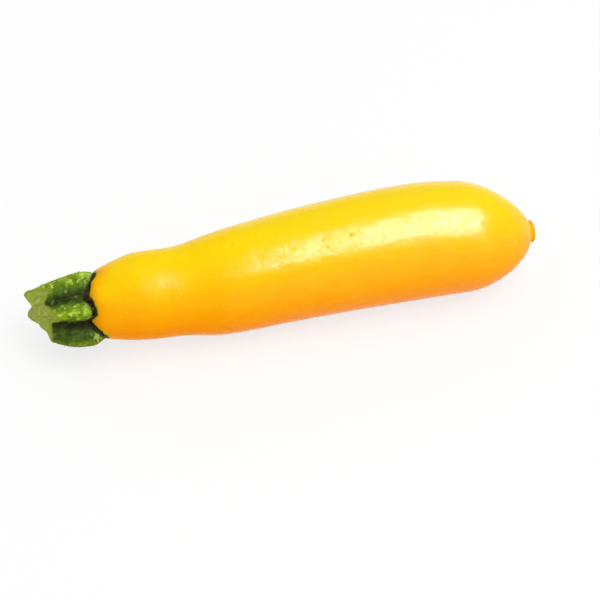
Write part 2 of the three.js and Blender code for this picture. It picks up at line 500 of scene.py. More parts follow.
def stem_rule(nodes, given):
    grid, around, row = wrapped_grid(nodes, given)
    wall, _ = along_curve(nodes, given["Wall"], row, smooth=True)
    star, foot = along_curve(nodes, given["Star"], around, smooth=False)
    out, radius, _ = nodes.split(wall)
    star_y, star_z, reach = nodes.split(star)

    # Each rib keeps its own share of the root, which is what lies behind the tip.
    root = nodes.times(nodes.math("MINIMUM", out, 0.0), foot)
    out = nodes.plus(nodes.math("MAXIMUM", out, 0.0), root)

    # The knife's slant grows from nothing at the fruit to its full reach at the cut.
    radius = nodes.math("MAXIMUM", radius, 0.0)
    from_middle = nodes.over(radius, given["Rim"])
    out_share = nodes.over(out, given["Length"])
    slant = nodes.times(
        nodes.ramp(from_middle, 0.0, 1.0, smooth=False),
        nodes.ramp(out_share, 0.0, 1.0, smooth=False),
        reach,
    )
    x = nodes.times(nodes.plus(out, slant), -1.0)
    y = nodes.times(star_y, radius, -1.0)
    place = nodes.vector("ADD", nodes.xyz(x, y, nodes.times(star_z, radius)), given["Tip"])

    # The cut is all that lies inside the rim, out at the far end.
    rim_edge = (12.0 * mm, 11.3 * mm)
    far_end = (15.0 * mm, 17.0 * mm)
    cut = nodes.times(nodes.ramp(radius, *rim_edge), nodes.ramp(out, *far_end))
    geometry = grid
    for name, value in (
        ("crest", nodes.radial(star_y, star_z)),
        ("foot", foot),
        ("cut", cut),
        ("out", out_share),
        ("from_middle", from_middle),
    ):
        geometry = store(nodes, geometry, name, value)
    return rind_relief(nodes, given, wrap(nodes, geometry, place))


# %% Build the stem
ribbed_rind = bpy.data.materials.new("ribbed_rind")
stem = grow(
    "ribbed_stem",
    stem_rule,
    ribbed_rind,
    Wall=wall_guide,
    Star=star_guide,
    Rings=150,
    Sectors=260,
    Tip=stem_tip,
    Length=stem_length,
    Rim=rim_radius,
    Fibres=0.5 * mm,
    Warts=0.35 * mm,
)

# %% [markdown]
# ## The fruit's rule
#
# The fruit is a main piece whose shape follows a rule, so it is made the same way:
# a grid wrapped round a guide. The guide is the line through the seven stations, and
# it carries the radius. Three more rules turn that tube into a fruit:
#
# - each end closes with a dome, blunt at the stem and long at the blossom;
# - the ribs of the stem carry on into the neck as faint shoulders, and the blunt end
#   is a little oblique;
# - nothing goes below the table, which presses a narrow flat into the underside.
#
# The rings are set closer together at the ends, where the surface turns fastest.
# Last come low swells, so that a highlight never runs dead straight: broad ones a
# few centimetres across, and ripples of a few millimetres that break up its edge.

# %% Helpers for the fruit's rule
def dome(nodes, from_tip, depth, fullness):
    """How far a dome has opened: 0 at its tip, 1 where it meets the body."""
    share = nodes.ramp(nodes.over(from_tip, depth), 0.0, 1.0, smooth=False)
    closed = nodes.math("POWER", nodes.minus(1.0, share), fullness)
    return nodes.math("POWER", nodes.minus(1.0, closed), nodes.over(1.0, fullness))


def fade(nodes, share, end):
    """1 at the stem end, falling smoothly to 0 at a share of the length."""
    left = nodes.minus(1.0, nodes.over(share, end))
    return nodes.math("POWER", nodes.math("MAXIMUM", left, 0.0), 2)


def swells(nodes, given, geometry):
    """Low swells all over, except where the fruit lies on the table."""
    broad_size = 16 * mm
    ripple_size = 4.5 * mm
    full_from = 6 * mm
    position = nodes.get("GeometryNodeInputPosition")
    longer = nodes.drawn_out(position, 0.45)
    broad = nodes.swing(nodes.mottle(longer, broad_size, 2.0), given["Unevenness"])
    ripples = nodes.swing(nodes.mottle(position, ripple_size, 1.0), given["Ripples"])
    _, _, height = nodes.split(position)
    swell = nodes.times(nodes.plus(broad, ripples), nodes.ramp(height, 0.0, full_from))
    return lift_along_normals(nodes, geometry, swell)


# %% The fruit's rule
def fruit_rule(nodes, given):
    grid, around, row = wrapped_grid(nodes, given)
    turn = nodes.times(around, math.tau)
    closer = nodes.math("COSINE", nodes.times(row, math.pi))
    along = nodes.times(nodes.minus(1.0, closer), 0.5)
    middle, girth = along_curve(nodes, given["Spine"], along, smooth=True)

    middle_x, middle_y, middle_z = nodes.split(middle)
    from_stem = nodes.minus(middle_x, given["StemTip"])
    from_blossom = nodes.minus(given["BlossomTip"], middle_x)
    share = nodes.over(from_stem, nodes.minus(given["BlossomTip"], given["StemTip"]))
    stem_dome = dome(nodes, from_stem, given["StemDome"], given["StemFullness"])
    blossom_dome = dome(nodes, from_blossom, given["BlossomDome"], given["BlossomFullness"])
    radius = nodes.times(stem_dome, blossom_dome, girth)

    shoulder_end = 0.32
    from_rib = nodes.minus(turn, given["FirstRib"])
    crest = nodes.math("COSINE", nodes.times(from_rib, given["Ribs"]))
    shoulder = nodes.times(crest, fade(nodes, share, shoulder_end), given["Shoulders"])
    radius = nodes.times(radius, nodes.plus(shoulder, 1.0))

    oblique_faces = math.radians(40)
    oblique_end = 0.2
    front = nodes.math("COSINE", nodes.minus(turn, oblique_faces))
    reach = nodes.times(front, radius, given["Oblique"], fade(nodes, share, oblique_end))

    y = nodes.minus(middle_y, nodes.times(radius, nodes.math("COSINE", turn)))
    z = nodes.plus(middle_z, nodes.times(radius, nodes.math("SINE", turn)))
    place = nodes.xyz(nodes.minus(middle_x, reach), y, nodes.math("MAXIMUM", z, 0.0))

    # The grid wraps the other way round here, so its faces are turned to point out.
    geometry = nodes.get("GeometryNodeFlipFaces", 0, {"Mesh": grid})
    geometry = wrap(nodes, store(nodes, geometry, "along", share), place)
    geometry = swells(nodes, given, geometry)
    _, _, upward = nodes.split(nodes.get("GeometryNodeInputNormal"))
    return store(nodes, geometry, "upward", upward)


# %% Build the fruit
spine_line = [station_point(*station) for station in stations]
spine_radii = [radius * mm for _, _, radius, _ in stations]
spine_guide = guide_curve("fruit_spine", spine_line, spine_radii)
waxy_skin = bpy.data.materials.new("waxy_skin")
fruit = grow(
    "zucchini_skin",
    fruit_rule,
    waxy_skin,
    Spine=spine_guide,
    Rings=240,
    Sectors=176,
    StemTip=stem_tip_x,
    BlossomTip=blossom_tip.x,
    StemDome=6 * mm,
    StemFullness=2.2,
    BlossomDome=30 * mm,
    BlossomFullness=1.8,
    Ribs=len(ribs),
    FirstRib=math.radians(ribs[0][0]),
    Shoulders=0.012,
    Oblique=0.24,
    Unevenness=0.5 * mm,
    Ripples=0.22 * mm,
)

# %% [markdown]
# ## Where the two touch
#
# The skin turns greenish right beside the stem, with painted shade in the crevice at
# the stem's foot. The stem's foot is dark where it meets the fruit: partly dark
# tissue, partly painted shade in that crevice. A ramp along X can't draw that,
# because the ribs reach unevenly over the shoulder. Both follow the contact line. So
# one small rule measures, for every point of a piece, the distance to the other
# piece, and stores it. It is used twice, once each way.

# %% Measure the distance to the neighbour
def distance_rule(nodes, given):
    target = nodes.get("GeometryNodeObjectInfo", "Geometry", {"Object": given["Neighbour"]})
    near = nodes.add("GeometryNodeProximity", {0: target}, target_element="FACES")
    return store(nodes, given["Geometry"], "to_neighbour", near.outputs["Distance"])


def measured(piece, neighbour):
    """The same piece, with its distance to the neighbour stored on each point."""
    name = piece.name
    piece.name = name + "_before"
    finish = piece.data.materials[0]
    result = grow(name, distance_rule, finish, start=piece, Neighbour=neighbour)
    bpy.data.objects.remove(piece)
    return result


stem = measured(stem, fruit)
fruit = measured(fruit, stem)

# %% [markdown]
# ## Small round shapes
#
# A pore, a prickle and the blossom scar have one thing in common: each is a stack of
# rings that closes in a point. One helper joins such rings with faces, so the
# shapes themselves shrink to a few numbers.

# %% A helper that joins rings
def ring(radius, height, sides, lean=0.0):
    """Points round the Z axis, pushed a little along X by the lean."""
    corners = [2 * math.pi * i / sides for i in range(sides)]
    return [(radius * math.cos(a) + lean, radius * math.sin(a), height) for a in corners]


def ringed_shape(name, rings, top, bottom=None):
    """A closed mesh from rings of points, with a point on top, and a point or a flat face below."""
    shape = bmesh.new()
    loops = [[shape.verts.new(point) for point in points] for points in rings]
    bottom = bottom and shape.verts.new(bottom)
    top = shape.verts.new(top)
    sides = len(loops[0])
    pairs = [(i, (i + 1) % sides) for i in range(sides)]
    for lower, upper in zip(loops, loops[1:]):
        for i, j in pairs:
            shape.faces.new((lower[i], lower[j], upper[j], upper[i]))
    for i, j in pairs:
        shape.faces.new((loops[-1][i], loops[-1][j], top))
        if bottom:
            shape.faces.new((loops[0][j], loops[0][i], bottom))
    if not bottom:
        shape.faces.new(loops[0][::-1])
    bmesh.ops.recalc_face_normals(shape, faces=shape.faces)
    mesh = bpy.data.meshes.new(name)
    shape.to_mesh(mesh)
    shape.free()
    print(f"{name}: {len(mesh.polygons)} faces")
    return add_object(name, mesh)


# %% [markdown]
# ## Pores on the skin
#
# The skin of a zucchini breathes through lenticels: pale specks under a millimetre
# wide, which come in patches. A speck drawn by a texture has no edge to catch the
# light, so each one is a tiny low dome of 33 faces. They are strewn by the Distribute
# Points node with a fixed seed, which keeps them a set distance apart as real ones
# are, and they lie along the skin's own direction.

# %% Helpers that strew a small shape
def strewn(nodes, given, keep, scale_low, scale_high, lean=0.0):
    """Put copies of the given shape on a mesh, standing along its normals."""
    shape = nodes.get("GeometryNodeObjectInfo", "Geometry", {"Object": given["Shape"]})
    sockets = {
        "Mesh": given["Geometry"],
        "Selection": keep,
        "Distance Min": given["Spacing"],
        "Density Max": given["Density"],
        "Density Factor": 1.0,
        "Seed": given["Seed"],
    }
    strew = nodes.add("GeometryNodeDistributePointsOnFaces", sockets, distribute_method="POISSON")
    turn = strew.outputs["Rotation"]
    if lean:
        most = (lean, lean, math.pi)
        sockets = {"Min": tuple(-turned for turned in most), "Max": most, "Seed": given["Seed"]}
        wobble = nodes.get("FunctionNodeRandomValue", "Value", sockets, data_type="FLOAT_VECTOR")
        wobble = nodes.get("FunctionNodeEulerToRotation", 0, {0: wobble})
        sockets = {"Rotation": turn, "Rotate By": wobble}
        turn = nodes.get("FunctionNodeRotateRotation", 0, sockets, rotation_space="LOCAL")
    sockets = {"Min": scale_low, "Max": scale_high, "Seed": given["Seed"]}
    scale = nodes.get("FunctionNodeRandomValue", "Value", sockets, data_type="FLOAT")
    points = strew.outputs["Points"]
    sockets = {"Points": points, "Instance": shape, "Rotation": turn, "Scale": scale}
    return nodes.get("GeometryNodeInstanceOnPoints", 0, sockets)


def pore_rule(nodes, given):
    """Pores come in patches, and stay away from the stem's foot and from the table."""
    patch_size = 14 * mm
    stem_gap = 1.5 * mm
    table_gap = 1.0 * mm
    position = nodes.get("GeometryNodeInputPosition")
    patch = nodes.math("GREATER_THAN", nodes.mottle(position, patch_size), 0.47)
    off_stem = nodes.math("GREATER_THAN", read(nodes, "to_neighbour"), stem_gap)
    off_table = nodes.math("GREATER_THAN", nodes.split(position)[2], table_gap)
    keep = nodes.times(patch, off_stem, off_table)
    geometry = strewn(nodes, given, keep, scale_low=0.5, scale_high=1.15)
    return nodes.get("GeometryNodeSetShadeSmooth", 0, {"Geometry": geometry})


# %% Strew the pores
pore_radius = 0.42 * mm
pore_height = 0.05 * mm
pore_sunk = 0.12 * mm
pore_profile = [
    # radius as a share of the pore's, height
    (1.0, -pore_sunk),
    (0.99, 0.1 * pore_height),
    (0.86, 0.5 * pore_height),
    (0.5, 0.85 * pore_height),
]
pore_rings = [ring(pore_radius * share, height, sides=8) for share, height in pore_profile]
pore_shape = ringed_shape("pore_shape", pore_rings, (0, 0, pore_height))
pale_pore = bpy.data.materials.new("pale_pore")
pores = grow(
    "skin_pores",
    pore_rule,
    pale_pore,
    start=fruit,
    Shape=pore_shape,
    Spacing=3.2 * mm,
    Density=90000.0,
    Seed=11,
)

# %% [markdown]
# ## A few larger marks
#
# Chance never puts a mark where it is wanted. A few pores on every fruit grow out
# into larger spots, and they tell most where the skin shines, because a dull spot
# breaks the highlight. So these five are placed one by one: the share of the length
# from the stem end, the angle from the front up over the top, and the size against
# a pore. A ray from the middle of the fruit finds the skin at each place.

# %% Place the marks
mark_places = [
    # share of the length, angle, size
    (0.44, 59, 2.2),
    (0.47, 32, 1.6),
    (0.505, 64, 1.8),
    (0.51, 55, 1.8),
    (0.565, 63, 2.4),
]


def placed_marks(name, shape, material, places):
    """Copies of a small shape at set places on the fruit, standing along its normals."""
    bpy.context.view_layer.update()
    joined = bmesh.new()
    along_values, upward_values = [], []
    for along, angle, size in places:
        radians = math.radians(angle)
        start = Vector((stem_tip_x + along * fruit_length, blossom_tip.y, 20 * mm))
        outward = Vector((0, -math.cos(radians), math.sin(radians)))
        _, point, normal, _ = fruit.ray_cast(start, outward)
        turn = normal.to_track_quat("Z", "Y").to_matrix().to_4x4()
        copy = shape.data.copy()
        copy.transform(Matrix.Translation(point) @ turn @ Matrix.Diagonal((size, size, 1, 1)))
        joined.from_mesh(copy)
        along_values += [along] * len(copy.vertices)
        upward_values += [normal.z] * len(copy.vertices)
        bpy.data.meshes.remove(copy)
    mesh = bpy.data.meshes.new(name)
    joined.to_mesh(mesh)
    joined.free()
    mesh.attributes.new("along", "FLOAT", "POINT").data.foreach_set("value", along_values)
    mesh.attributes.new("upward", "FLOAT", "POINT").data.foreach_set("value", upward_values)
    mesh.shade_smooth()
    mesh.materials.append(material)
    return add_object(name, mesh)


marks = placed_marks("skin_marks", pore_shape, pale_pore, mark_places)
print("the marks have", len(marks.data.polygons), "faces")

# %% [markdown]
# ## Prickles on the stem
#
# The stem of a zucchini is prickly. The hairs are under a millimetre long, and
# they stand mostly on the crests of the ribs, where they show as pale flecks
# against the dark rind. Hair strands would be lost on export, so each is a
# four-sided thorn with a bend in it, strewn as the pores are and tilted at random.

# %% Grow the prickles
def prickle_rule(nodes, given):
    """Prickles stand on the crests, off the cut and clear of the fruit."""
    barely_cut = 0.02
    fruit_gap = 1.2 * mm
    root_end = -0.05
    on_crest = nodes.math("GREATER_THAN", read(nodes, "crest"), given["Crest"])
    on_wall = nodes.math("LESS_THAN", read(nodes, "cut"), barely_cut)
    clear = nodes.math("GREATER_THAN", read(nodes, "to_neighbour"), fruit_gap)
    outside = nodes.math("GREATER_THAN", read(nodes, "out"), root_end)
    keep = nodes.times(on_crest, on_wall, clear, outside)
    return strewn(nodes, given, keep, scale_low=0.5, scale_high=1.2, lean=0.5)


thorn_length = 0.65 * mm
thorn_width = 0.2 * mm
thorn_profile = [
    # radius as a share of the width, height and lean as shares of the length
    (0.5, -0.2, 0.0),
    (0.36, 0.35, 0.02),
    (0.2, 0.75, 0.1),
]
thorn_rings = [
    ring(thorn_width * share, rise * thorn_length, 4, lean * thorn_length)
    for share, rise, lean in thorn_profile
]
thorn_shape = ringed_shape("thorn_shape", thorn_rings, (0.2 * thorn_length, 0, thorn_length))
pale_prickle = bpy.data.materials.new("pale_prickle")
prickles = grow(
    "stem_prickles",
    prickle_rule,
    pale_prickle,
    start=stem,
    Shape=thorn_shape,
    Spacing=1.5 * mm,
    Density=600000.0,
    Crest=0.9,
    Seed=5,
)

# %% [markdown]
# ## The blossom scar
#
# The flower dries and falls off the far end, and leaves a button of cork. It is
# small, but it ends the fruit, and its ragged rim is what the eye checks. It could
# be one more tree. It is turned by hand, ring by ring, because a wobbly rim with a
# few torn bits is quicker to write as numbers.

# %% Turn the scar
scar_radius = (scar_high.z - scar_low.z) / 2
scar_height = scar_high.x - blossom_tip.x
scar_profile = [
    # radius as a share of the scar's, height as a share of its height, raggedness
    (0.84, -2.2, 0.0),
    (0.93, -0.6, 0.1),
    (0.98, 0.00, 0.3),
    (1.00, 0.45, 0.6),
    (0.97, 0.80, 0.7),
    (0.90, 0.96, 0.7),
    (0.82, 0.90, 0.6),
    (0.72, 0.66, 0.5),
    (0.60, 0.56, 0.4),
    (0.46, 0.50, 0.4),
    (0.32, 0.52, 0.3),
    (0.18, 0.60, 0.3),
    (0.08, 0.72, 0.2),
]


def scar_ring(share, rise, ragged, sides=72):
    """One ring of the scar. Slow noise wobbles its edge, and quick noise tears it."""
    points = []
    for i in range(sides):
        angle = 2 * math.pi * i / sides
        y, z = math.cos(angle), math.sin(angle)
        slow = noise.noise(Vector((y, z, 0.3)) * 1.4)
        quick = noise.noise(Vector((y * 5, z * 5, rise * 2)))
        torn = noise.noise(Vector((y * 4, z * 4, share * 6)))
        radius = scar_radius * share * (1 + ragged * (0.05 * slow + 0.05 * quick - 0.04))
        lift = scar_height * (rise + ragged * 0.28 * (torn - 0.3))
        points.append(blossom_tip + Vector((lift, -y * radius, z * radius)))
    return points


scar = ringed_shape(
    "blossom_scar_cork",
    [scar_ring(*row) for row in scar_profile],
    top=blossom_tip + Vector((0.8 * scar_height, 0, 0)),
    bottom=blossom_tip + Vector((-2 * scar_height, 0, 0)),
)
scar.data.shade_smooth()

# %% [markdown]
# ## Finishes
#
# Colours are easiest to judge as they look on a screen, and the shader wants them in
# linear light, so one small function turns a screen colour into a shader colour.
# Patterns read Object coordinates, which are metres here, so a noise can be given
# the real size of its patches.

# %% Helpers for the finishes
def colour(red, green, blue):
    """A screen colour, 0 to 255, as the linear colour that a shader takes."""

    def linear(part):
        part /= 255
        return part / 12.92 if part <= 0.04045 else ((part + 0.055) / 1.055) ** 2.4

    return (linear(red), linear(green), linear(blue), 1.0)


def cleared(owner):
    """The emptied node tree of a material or of the world."""
    owner.use_nodes = True
    owner.node_tree.nodes.clear()
    return Nodes(owner.node_tree)


def start_finish(material):
    """Give a material one Principled shader. Returns its Nodes, the shader and the coordinates."""
    nodes = cleared(material)
    shader = nodes.add("ShaderNodeBsdfPrincipled")
    nodes.add("ShaderNodeOutputMaterial", {"Surface": shader.outputs["BSDF"]})
    return nodes, shader, nodes.get("ShaderNodeTexCoord", "Object")


def set_finish(nodes, shader, base, roughness, gloss):
    """The three sockets that every finish here fills."""
    sockets = {"Base Color": base, "Roughness": roughness, "Specular IOR Level": gloss}
    for name, value in sockets.items():
        nodes.fill(shader.inputs[name], value)
    print("a finish of", len(nodes.tree.nodes), "nodes")


def mix(nodes, share, first, second):
    """Mix two colours."""
    sockets = {0: share, 6: first, 7: second}
    return nodes.add("ShaderNodeMix", sockets, data_type="RGBA").outputs[2]


def colour_ramp(nodes, value, *stops):
    """A run of colours over a value. Each stop is a value from 0 to 1 and a screen colour."""
    ramp = nodes.add("ShaderNodeValToRGB", {0: value})
    elements = ramp.color_ramp.elements
    while len(elements) < len(stops):
        elements.new(1.0)
    for element, (place, *shade) in zip(elements, stops):
        element.position = place
        element.color = colour(*shade)
    return ramp.outputs["Color"]


def stored(nodes, name):
    """A number that was stored on the points of the mesh."""
    return nodes.get("ShaderNodeAttribute", "Fac", attribute_name=name)


def relief(nodes, shader, height, distance, strength=1.0):
    """Bump from a height between 0 and 1 that stands for `distance` metres."""
    sockets = {"Strength": strength, "Distance": distance, "Height": height}
    nodes.fill(shader.inputs["Normal"], nodes.get("ShaderNodeBump", 0, sockets))


# %% [markdown]
# ## The skin's colour
#
# A yellow zucchini is not one yellow. Here the skin's yellow also runs from lemon
# where the surface faces up, through golden, to orange where it faces down. That run
# is painted light and shade: the lit top is painted lemon and the shaded underside
# orange. Beside the stem the skin is greenish in a thin rim, then orange, with painted
# shade in the crevice at the stem's foot. Three things would do here: a painted
# image, a ramp on height, or a ramp on how far the surface faces up. The last follows
# the curve of the fruit, so it is used, with soft patches that disturb it.

# %% Colour the skin
def skin_colour_with_painted_shade(nodes, place):
    """The yellow of the skin, painted lemon where it faces up to the light and orange where it
    faces down into shade.
    """
    streaks = nodes.drawn_out(place, 0.12)
    upward = nodes.ramp(stored(nodes, "upward"), -1.0, 1.0, smooth=False)
    neck = nodes.ramp(stored(nodes, "along"), 0.5, 0.0, 0.0, 0.1, smooth=False)
    uneven = nodes.plus(
        nodes.minus(upward, neck),
        nodes.swing(nodes.mottle(place, 12 * mm, 4.0), 0.16),
        nodes.swing(nodes.mottle(streaks, 2.2 * mm, 3.0), 0.1),
    )
    return colour_ramp(
        nodes,
        uneven,
        (0.00, 250, 158, 8),
        (0.26, 252, 150, 0),
        (0.46, 255, 166, 0),
        (0.66, 253, 183, 0),
        (0.84, 252, 203, 0),
        (0.97, 248, 213, 0),
    )


nodes, shader, place = start_finish(waxy_skin)
skin = skin_colour_with_painted_shade(nodes, place)
wander = nodes.swing(nodes.mottle(place, 3 * mm), 3 * mm)
from_stem = nodes.plus(stored(nodes, "to_neighbour"), wander)
# The last of these tints, a dark brown right at the stem's foot, is painted shade in the crevice
# between skin and stem.
for far, near, strongest, tint in (
    (7 * mm, 0.5 * mm, 0.75, colour(250, 160, 0)),
    (1.9 * mm, 0.7 * mm, 0.85, colour(196, 180, 30)),
    (0.9 * mm, 0.2 * mm, 1.0, colour(70, 60, 16)),
):
    skin = mix(nodes, nodes.ramp(from_stem, far, near, 0.0, strongest), skin, tint)

# %% [markdown]
# ## The skin's wax
#
# The flesh under the skin lets light through, which a little subsurface scattering
# gives. The wax on it makes a soft, slightly broken highlight: the gloss is low and
# mottled, over a fine relief. The wax isn't even along the fruit either. The neck
# has least and is dull, the middle is speckled, and the far half is sleek up to the
# rounding of its end. The side that lay on the ground is rubbed dull.

# %% Wax the skin
grain = 1.6 * mm
along = stored(nodes, "along")
neck = nodes.ramp(along, 0.5, 0.2, smooth=False)
sleek = nodes.ramp(along, 0.45, 0.7)
rubbed = nodes.mottle(nodes.drawn_out(place, 0.6), 5 * mm, 2.0)
thin_wax = nodes.ramp(sleek, 0.0, 1.0, 0.12, 0.17)
full_wax = 0.285
gloss = nodes.times(
    nodes.ramp(nodes.mottle(place, grain, 3.0), 0.38, 0.62, full_wax, thin_wax),
    nodes.ramp(along, 0.82, 0.93, 1.0, 0.55),
    nodes.ramp(rubbed, 0.36, 0.6, 1.12, 0.78),
    nodes.ramp(neck, 0.0, 1.0, 1.0, 0.36),
    nodes.ramp(stored(nodes, "upward"), -0.1, 0.5, 0.35, 1.0),
)
roughness = nodes.ramp(neck, 0.7, 1.0, 0.22, 0.3)
roughness = nodes.plus(roughness, nodes.ramp(sleek, 0.0, 1.0, 0.0, 0.04))
strength = nodes.ramp(sleek, 0.0, 1.0, 1.0, 0.75)
relief(nodes, shader, nodes.mottle(place, grain, 1.0), 0.07 * mm, strength)
shader.inputs["Subsurface Weight"].default_value = 0.12
shader.inputs["Subsurface Radius"].default_value = (1.0, 0.55, 0.12)
shader.inputs["Subsurface Scale"].default_value = 2.5 * mm
set_finish(nodes, shader, skin, roughness, gloss)

# %% [markdown]
# ## The pores' finish
#
# Pores are a little greener and much duller than the skin. The points they grew
# from kept the skin's stored numbers, so a pore can ask for the very colour of the
# skin under it, its painted shade included, and shift that by a third. Whether it
# shifts to pale or to green, a noise wider than a pore decides.

# %% Finish the pores
nodes, shader, place = start_finish(pale_pore)
kind = nodes.ramp(nodes.mottle(place, 3 * mm, 1.0), 0.4, 0.64)
shifted = mix(nodes, kind, colour(255, 214, 60), colour(206, 190, 30))
base = mix(nodes, 0.34, skin_colour_with_painted_shade(nodes, place), shifted)
relief(nodes, shader, nodes.mottle(place, 0.3 * mm), 0.02 * mm)
set_finish(nodes, shader, base, nodes.ramp(kind, 0.0, 1.0, 0.4, 0.6), 0.04)

# %% [markdown]
# ## The rind's finish
#
# The rind is dark green with pale warts, palest on the feet of the ribs. Its crests
# are painted lighter and yellow-green where they catch the light, with painted glints
# on them. The deepest folds are painted nearly black as shade, and the edge against
# the fruit is dark: partly dark tissue, partly painted shade in the crevice. Low down
# it turns olive. An image could hold all that, but it would need unwrapping. The
# stored numbers do the sorting instead, so each part of the finish stays with its
# part of the shape.

# %% Colour the rind
nodes, shader, place = start_finish(ribbed_rind)
ridge = stored(nodes, "crest")
to_fruit = stored(nodes, "to_neighbour")
fibres = nodes.mottle(nodes.drawn_out(place, 0.3), 1.2 * mm, 4.0)
blotches = nodes.mottle(place, 2.6 * mm, 2.0)
_, _, height = nodes.split(place)
height = nodes.plus(height, nodes.swing(blotches, 5 * mm))

# Painted light and shade: this share is 1 high on the stem, low in a band at mid height and partly
# up again at the very bottom, and the crests are painted lighter as far as it reaches.
painted_top_light = nodes.ramp(height, 15 * mm, 21 * mm, 0.12, 1.0)
painted_top_light = nodes.math("MAXIMUM", painted_top_light, nodes.ramp(height, 14.5 * mm, 12 * mm, 0.0, 0.6))
crest = nodes.times(nodes.ramp(ridge, 0.76, 1.0, smooth=False), painted_top_light)
blotchy = nodes.times(nodes.ramp(blotches, 0.35, 0.7), nodes.plus(crest, 0.4))
shade = nodes.plus(nodes.times(crest, 0.5), nodes.times(fibres, 0.3), nodes.times(blotchy, 0.22))
green = colour_ramp(
    nodes,
    shade,
    (0.08, 26, 38, 10),
    (0.34, 76, 104, 26),
    (0.58, 98, 126, 22),
    (0.80, 136, 170, 26),
    (1.00, 172, 200, 70),
)

# %% Mark the rind: warts, pale feet, painted glints, and painted shade in the folds and at the seam
# Painted light on real warts: they are paler where the rind is painted as lit.
warts = nodes.times(stored(nodes, "wart"), nodes.ramp(painted_top_light, 0.0, 1.0, 0.2, 0.55))
# Painted highlights: pale lime flecks on the crests where they are painted as lit.
painted_crest_glints = nodes.ramp(nodes.mottle(place, 1.9 * mm, 2.0), 0.56, 0.68)
painted_crest_glints = nodes.times(painted_crest_glints, nodes.ramp(crest, 0.35, 0.8))
pale_foot = nodes.times(
    nodes.ramp(to_fruit, 5 * mm, 3 * mm),
    nodes.ramp(ridge, 0.8, 0.95),
    nodes.ramp(nodes.mottle(place, 1.5 * mm, 1.0), 0.47, 0.58),
    0.7,
)
# Painted shade: the grooves between the ribs are painted nearly black.
painted_fold_shade = nodes.times(nodes.ramp(ridge, 0.76, 0.68), nodes.ramp(fibres, 0.3, 0.6, 0.95, 0.6))
# The edge against the fruit is painted brown-black: partly dark tissue, partly painted shade in the
# crevice where the two meet.
short_foot = nodes.ramp(stored(nodes, "foot"), 0.8, 0.2, 0.0, 2.4 * mm, smooth=False)
from_fruit = nodes.minus(nodes.minus(to_fruit, short_foot), nodes.times(blotches, 1.6 * mm))
seam_dark_and_painted_shade = mix(nodes, nodes.ramp(fibres, 0.35, 0.65), colour(10, 6, 2), colour(62, 48, 14))
for share, tint in (
    (warts, colour(168, 194, 70)),
    (painted_crest_glints, colour(190, 216, 80)),
    (pale_foot, colour(172, 202, 92)),
    (painted_fold_shade, colour(40, 30, 10)),
    (nodes.ramp(from_fruit, 0.7 * mm, -0.5 * mm), seam_dark_and_painted_shade),
    (nodes.ramp(height, 14.5 * mm, 11.5 * mm, 0.0, 0.45), colour(132, 128, 10)),
):
    green = mix(nodes, share, green, tint)

# %% [markdown]
# ## The cut's finish
#
# The cut is paler than the rind: fresh and fibrous inside, greener towards the rim.
# Rings of fibres follow the stem's own outline. A wood texture's rings would be
# round, so a sine of the stored distance from the middle draws them instead.

# %% Colour the cut, and finish the stem
ring_count = 20.0
ring_wander = 9.0
from_middle = stored(nodes, "from_middle")
wander = nodes.times(nodes.mottle(place, 3.0 * mm), ring_wander)
rings = nodes.math("SINE", nodes.plus(nodes.times(from_middle, ring_count), wander))
rings = nodes.ramp(rings, -1.0, 1.0, smooth=False)
pith = colour_ramp(
    nodes,
    nodes.plus(nodes.times(rings, 0.22), nodes.times(nodes.mottle(place, 1.6 * mm), 0.78)),
    (0.2, 128, 144, 40),
    (0.5, 158, 170, 70),
    (0.8, 186, 192, 112),
)
rim = nodes.times(nodes.ramp(from_middle, 0.6, 0.95), 0.5)
pith = mix(nodes, rim, pith, colour(128, 150, 20))
relief(nodes, shader, nodes.plus(fibres, nodes.mottle(place, 0.5 * mm, 2.0)), 0.3 * mm)
base = mix(nodes, stored(nodes, "cut"), green, pith)
set_finish(nodes, shader, base, nodes.ramp(fibres, 0.3, 0.7, 0.5, 0.7), 0.04)

# %% [markdown]
# ## The prickles' finish
#
# A prickle is too small for a pattern of its own. What shows is that some are fresh
# and green and others dry and pale, so a noise that changes from one to the next
# picks the age of each.

# %% Finish the prickles
nodes, shader, place = start_finish(pale_prickle)
age = nodes.mottle(place, 1.0 * mm)
base = mix(nodes, age, colour(96, 120, 34), colour(176, 184, 100))
set_finish(nodes, shader, base, nodes.ramp(age, 0.3, 0.7, 0.4, 0.6), 0.04)

# %% [markdown]
# ## The scar's finish
#
# Dry cork: brown in the dish in the middle, and golden out at the rim, where the
# skin's colour comes through. A ramp on the distance from the tip does it, and
# noise frays its edges, as the torn cork does.

# %% Finish the scar
dry_cork = bpy.data.materials.new("dry_cork")
scar.data.materials.append(dry_cork)
nodes, shader, place = start_finish(dry_cork)
_, tip_y, tip_z = nodes.split(nodes.vector("SUBTRACT", place, tuple(blossom_tip)))
from_tip = nodes.over(nodes.radial(tip_y, tip_z), scar_radius)
cork = colour_ramp(
    nodes,
    nodes.plus(from_tip, nodes.swing(nodes.mottle(place, 1.6 * mm), 0.9)),
    (0.0, 140, 92, 44),
    (0.4, 206, 150, 84),
    (0.66, 244, 190, 72),
    (0.86, 248, 192, 10),
    (1.0, 228, 182, 24),
)
relief(nodes, shader, nodes.mottle(place, 0.5 * mm, 4.0), 0.2 * mm)
roughness = nodes.ramp(nodes.mottle(place, 0.6 * mm), 0.3, 0.7, 0.6, 0.85)
set_finish(nodes, shader, cork, roughness, 0.08)

# %% [markdown]
# ## Hand the pieces over
#
# The guides and the small shapes have done their work and go. Every piece rides on
# the one body, since nothing on a zucchini moves. The skin, the stem and the scar
# each stand for the plain solid that the measured model has in their place.

# %% Ride and replace
for aid in (wall_guide, star_guide, spine_guide, pore_shape, thorn_shape):
    bpy.data.objects.remove(aid)

